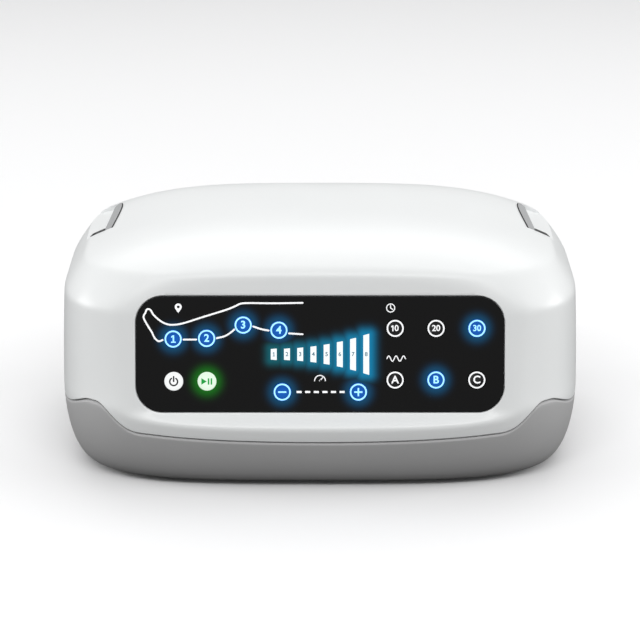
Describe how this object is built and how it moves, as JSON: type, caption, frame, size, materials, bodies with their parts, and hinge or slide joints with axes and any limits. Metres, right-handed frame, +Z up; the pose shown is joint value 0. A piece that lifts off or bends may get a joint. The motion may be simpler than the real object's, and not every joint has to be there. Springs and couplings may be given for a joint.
{
  "type": "compression therapy pump",
  "caption": "Mains air pump for compression therapy garments: white and grey rounded housing, sloping black key panel, carrying grips and two rear hose sockets.",
  "frame": {"origin": "centre of the four feet's plane, on the surface the pump stands on", "axes": "+Z up, -Y towards the key panel, +X to the right seen from the front"},
  "size_m": [0.26, 0.1997, 0.1204],
  "materials": {
    "shell_white": "fine satin moulding with a soft sheen",
    "shell_grey": "finely textured",
    "panel_black": "printed gloss black",
    "key_blue": "lit from behind",
    "key_white": "lit from behind",
    "key_black": "gloss with a white printed ring",
    "light_white": "lit from behind",
    "liner_grey": "ribbed soft plastic",
    "plate_grey": "fine spark texture",
    "socket_black": "satin",
    "brass": "bright",
    "steel": "zinc plated",
    "core_iron": "stacked sheets, varnished",
    "copper": "enamelled winding",
    "rubber_black": "matt",
    "tube_clear": "milky silicone",
    "part_white": "plain moulding",
    "head_grey": "glass filled",
    "filter_grey": "felt",
    "circuit_board": "solder mask",
    "switch_black": "satin"
  },
  "bodies": {
    "housing": {"upper_housing": "shell_white", "lower_housing": "shell_grey", "control_panel": "panel_black", "pressure_lights": "light_white", "key_board": "circuit_board", "key_switches": "switch_black", "display_leds": "light_white", "board_screws": "steel", "grip_liner_left": "liner_grey", "grip_liner_right": "liner_grey", "rear_plate": "plate_grey", "hose_socket_left": "socket_black", "hose_socket_right": "socket_black", "mains_inlet": "socket_black", "inlet_pins": "brass", "valve_manifold": "part_white", "solenoid_valves": "switch_black", "port_tubes": "tube_clear", "supply_tubes": "tube_clear", "compressor_chassis": "steel", "compressor_cores": "core_iron", "compressor_coils": "copper", "compressor_diaphragms": "rubber_black", "compressor_heads": "head_grey", "compressor_mounts": "rubber_black", "intake_filter": "filter_grey", "main_board": "circuit_board", "board_components": "switch_black", "mains_transformer": "core_iron", "remote_receiver": "switch_black", "housing_screws": "steel", "rubber_feet": "rubber_black"},
    "key_zone_1": {"key_zone_1": "key_blue"},
    "key_zone_2": {"key_zone_2": "key_blue"},
    "key_zone_3": {"key_zone_3": "key_blue"},
    "key_zone_4": {"key_zone_4": "key_blue"},
    "key_power": {"key_power": "key_white"},
    "key_start_pause": {"key_start_pause": "key_white"},
    "key_minus": {"key_minus": "key_blue"},
    "key_plus": {"key_plus": "key_blue"},
    "key_time_10": {"key_time_10": "key_black"},
    "key_time_20": {"key_time_20": "key_black"},
    "key_time_30": {"key_time_30": "key_blue"},
    "key_mode_a": {"key_mode_a": "key_black"},
    "key_mode_b": {"key_mode_b": "key_blue"},
    "key_mode_c": {"key_mode_c": "key_black"},
    "armature": {"compressor_armature": "steel"}
  },
  "joints": [
    {"name": "key_zone_1_press", "type": "slide", "parent": "housing", "child": "key_zone_1", "axis": [0, 0.9677, -0.2521], "range_m": [0, 0.0008], "stiffness_N_per_m": 250, "springref_m": -0.0004},
    {"name": "key_zone_2_press", "type": "slide", "parent": "housing", "child": "key_zone_2", "axis": [0, 0.9677, -0.2521], "range_m": [0, 0.0008], "stiffness_N_per_m": 250, "springref_m": -0.0004},
    {"name": "key_zone_3_press", "type": "slide", "parent": "housing", "child": "key_zone_3", "axis": [0, 0.9677, -0.2521], "range_m": [0, 0.0008], "stiffness_N_per_m": 250, "springref_m": -0.0004},
    {"name": "key_zone_4_press", "type": "slide", "parent": "housing", "child": "key_zone_4", "axis": [0, 0.9677, -0.2521], "range_m": [0, 0.0008], "stiffness_N_per_m": 250, "springref_m": -0.0004},
    {"name": "key_power_press", "type": "slide", "parent": "housing", "child": "key_power", "axis": [0, 0.9677, -0.2521], "range_m": [0, 0.0008], "stiffness_N_per_m": 250, "springref_m": -0.0004},
    {"name": "key_start_pause_press", "type": "slide", "parent": "housing", "child": "key_start_pause", "axis": [0, 0.9677, -0.2521], "range_m": [0, 0.0008], "stiffness_N_per_m": 250, "springref_m": -0.0004},
    {"name": "key_minus_press", "type": "slide", "parent": "housing", "child": "key_minus", "axis": [0, 0.9677, -0.2521], "range_m": [0, 0.0008], "stiffness_N_per_m": 250, "springref_m": -0.0004},
    {"name": "key_plus_press", "type": "slide", "parent": "housing", "child": "key_plus", "axis": [0, 0.9677, -0.2521], "range_m": [0, 0.0008], "stiffness_N_per_m": 250, "springref_m": -0.0004},
    {"name": "key_time_10_press", "type": "slide", "parent": "housing", "child": "key_time_10", "axis": [0, 0.9677, -0.2521], "range_m": [0, 0.0008], "stiffness_N_per_m": 250, "springref_m": -0.0004},
    {"name": "key_time_20_press", "type": "slide", "parent": "housing", "child": "key_time_20", "axis": [0, 0.9677, -0.2521], "range_m": [0, 0.0008], "stiffness_N_per_m": 250, "springref_m": -0.0004},
    {"name": "key_time_30_press", "type": "slide", "parent": "housing", "child": "key_time_30", "axis": [0, 0.9677, -0.2521], "range_m": [0, 0.0008], "stiffness_N_per_m": 250, "springref_m": -0.0004},
    {"name": "key_mode_a_press", "type": "slide", "parent": "housing", "child": "key_mode_a", "axis": [0, 0.9677, -0.2521], "range_m": [0, 0.0008], "stiffness_N_per_m": 250, "springref_m": -0.0004},
    {"name": "key_mode_b_press", "type": "slide", "parent": "housing", "child": "key_mode_b", "axis": [0, 0.9677, -0.2521], "range_m": [0, 0.0008], "stiffness_N_per_m": 250, "springref_m": -0.0004},
    {"name": "key_mode_c_press", "type": "slide", "parent": "housing", "child": "key_mode_c", "axis": [0, 0.9677, -0.2521], "range_m": [0, 0.0008], "stiffness_N_per_m": 250, "springref_m": -0.0004},
    {"name": "armature_swing", "type": "slide", "parent": "housing", "child": "armature", "axis": [1, 0, 0], "range_m": [-0.0015, 0.0015], "stiffness_N_per_m": 4000, "deforming": ["compressor_diaphragms"]}
  ]
}
